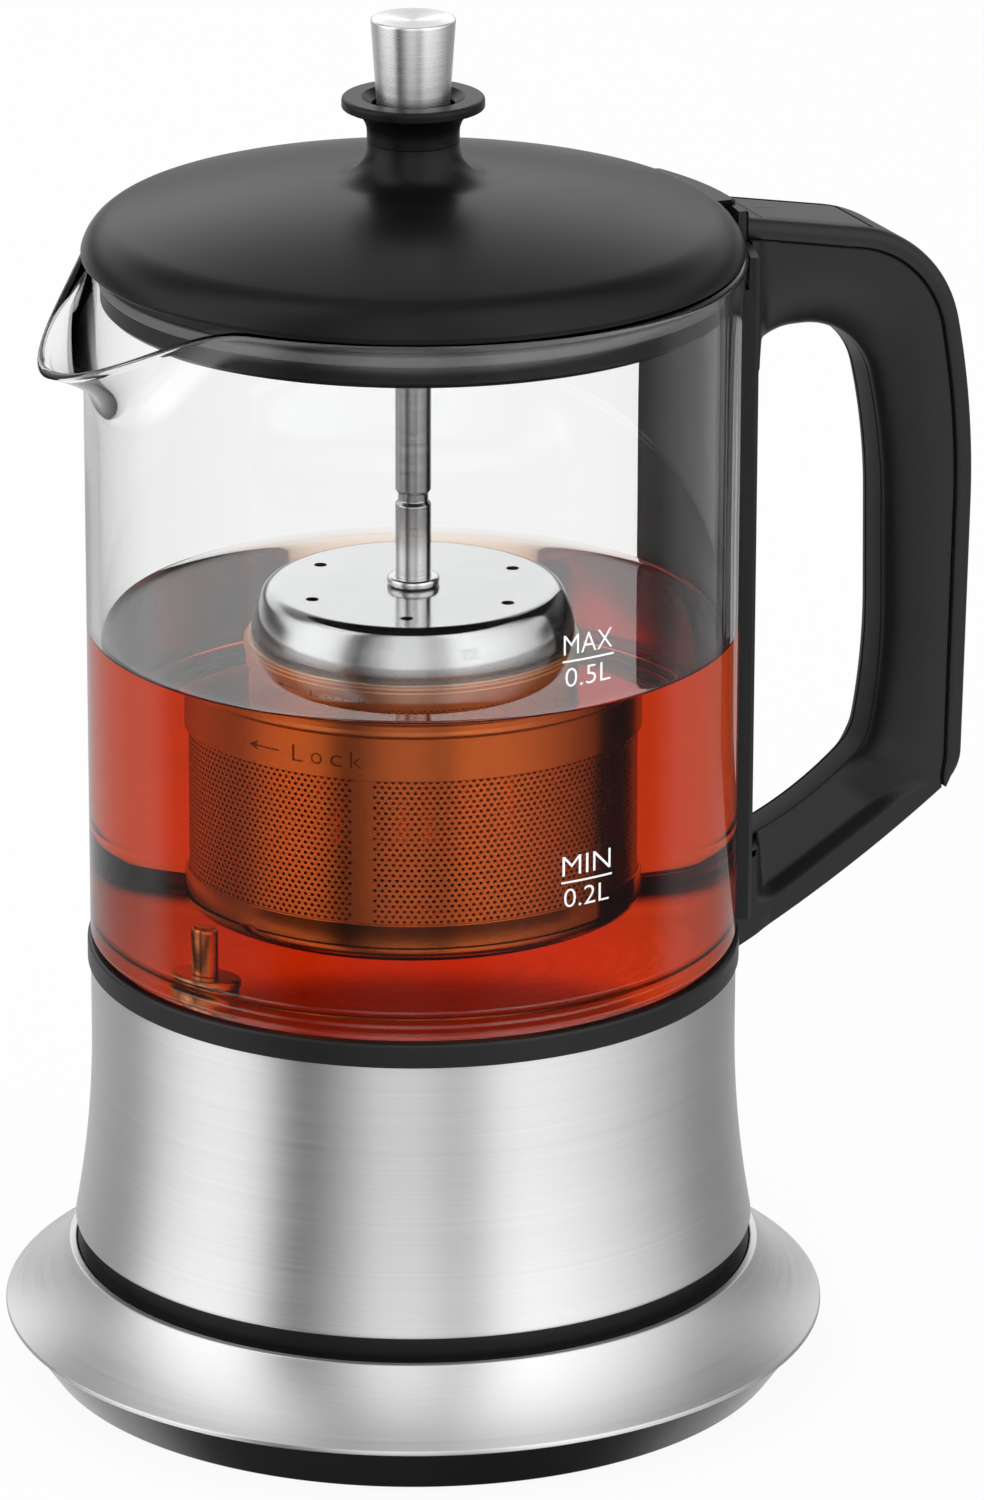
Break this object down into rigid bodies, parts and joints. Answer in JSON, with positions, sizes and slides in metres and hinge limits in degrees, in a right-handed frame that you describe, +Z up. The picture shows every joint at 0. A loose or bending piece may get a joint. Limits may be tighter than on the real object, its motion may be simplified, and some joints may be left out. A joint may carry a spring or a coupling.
{
  "type": "automatic tea maker",
  "caption": "Electric tea maker: glass jug with heated steel base part, lifting strainer under a domed lid with knob, black loop handle, on a round flared power base.",
  "frame": {"origin": "on the jug's axis, in the plane that the foot ring stands on", "axes": "+Z up along the jug's axis, +X towards the handle, so the spout points along -X, +Y to the left seen from the spout"},
  "size_m": [0.1635, 0.1344, 0.2253],
  "materials": {
    "brushed_sheet": "brushed",
    "strainer_steel": "satin",
    "polished_steel": "polished",
    "black_gloss": "glossy",
    "black_satin": "satin",
    "soft_black": "textured",
    "black_rubber": "matte",
    "seal_silicone": "matte",
    "clear_glass": "polished",
    "contact_brass": "satin",
    "bare_aluminium": "satin",
    "moulded_resin": "matte",
    "zinc_screw": "satin"
  },
  "bodies": {
    "base": {"foot_ring": "black_rubber", "base_foot": "black_satin", "base_skirt": "brushed_sheet", "base_deck": "black_satin", "base_connector": "black_satin", "base_contacts": "contact_brass", "base_screws": "zinc_screw", "cord_gland": "black_satin", "cord_clamp": "moulded_resin", "clamp_screws": "zinc_screw"},
    "jug_socket": {"jug_socket": "black_satin", "socket_contacts": "contact_brass"},
    "jug": {"steel_housing": "brushed_sheet", "housing_floor": "black_satin", "jug_ring": "black_satin", "housing_screws": "zinc_screw", "jug_glass": "clear_glass", "glass_seal": "seal_silicone", "heating_plate": "strainer_steel", "heat_diffuser": "bare_aluminium", "heating_element": "bare_aluminium", "control_unit": "moulded_resin", "thermostat": "bare_aluminium", "temperature_sensor": "polished_steel", "sensor_washer": "seal_silicone", "sensor_nut": "polished_steel", "handle_strip": "black_satin", "handle_body": "black_satin", "handle_liner": "soft_black", "handle_shell": "black_gloss", "handle_screws": "zinc_screw", "switch_pin": "polished_steel", "micro_switch": "moulded_resin"},
    "switch": {"switch_pad": "soft_black"},
    "lid_bush": {"rod_bush": "contact_brass", "detent_ring": "polished_steel"},
    "lid": {"lid_shell": "black_gloss", "lid_plug": "black_satin", "lid_seal": "seal_silicone", "lid_collar": "black_gloss", "lid_screws": "polished_steel"},
    "infuser": {"knob": "strainer_steel", "infuser_rod": "polished_steel", "rod_flange": "polished_steel", "strainer_cap": "strainer_steel", "cap_nut": "polished_steel"},
    "basket": {"basket_collar": "strainer_steel", "basket_sleeve": "strainer_steel", "basket_cup": "strainer_steel"}
  },
  "joints": [
    {"name": "jug_lift", "type": "slide", "parent": "base", "child": "jug_socket", "axis": [0, 0, 1], "range_m": [0, 0.06]},
    {"name": "jug_turn", "type": "hinge", "parent": "jug_socket", "child": "jug", "pos_m": [0, 0, 0.02], "axis": [0, 0, 1], "continuous": true},
    {"name": "switch_rock", "type": "hinge", "parent": "jug", "child": "switch", "pos_m": [0.07274, 0, 0.18291], "axis": [0, -1, 0], "range_deg": [0, 3], "stiffness_Nm_per_rad": 0.2, "springref_deg": -1.15},
    {"name": "lid_lift", "type": "slide", "parent": "jug", "child": "lid_bush", "axis": [0, 0, 1], "range_m": [0, 0.115]},
    {"name": "lid_twist", "type": "hinge", "parent": "lid_bush", "child": "lid", "pos_m": [0, 0, 0.19], "axis": [0, 0, 1], "range_deg": [0, 30]},
    {"name": "infuser_lift", "type": "slide", "parent": "lid_bush", "child": "infuser", "axis": [0, 0, 1], "range_m": [0, 0.0573]},
    {"name": "basket_twist", "type": "hinge", "parent": "infuser", "child": "basket", "pos_m": [0, 0, 0.124], "axis": [0, 0, 1], "range_deg": [0, 20]}
  ]
}
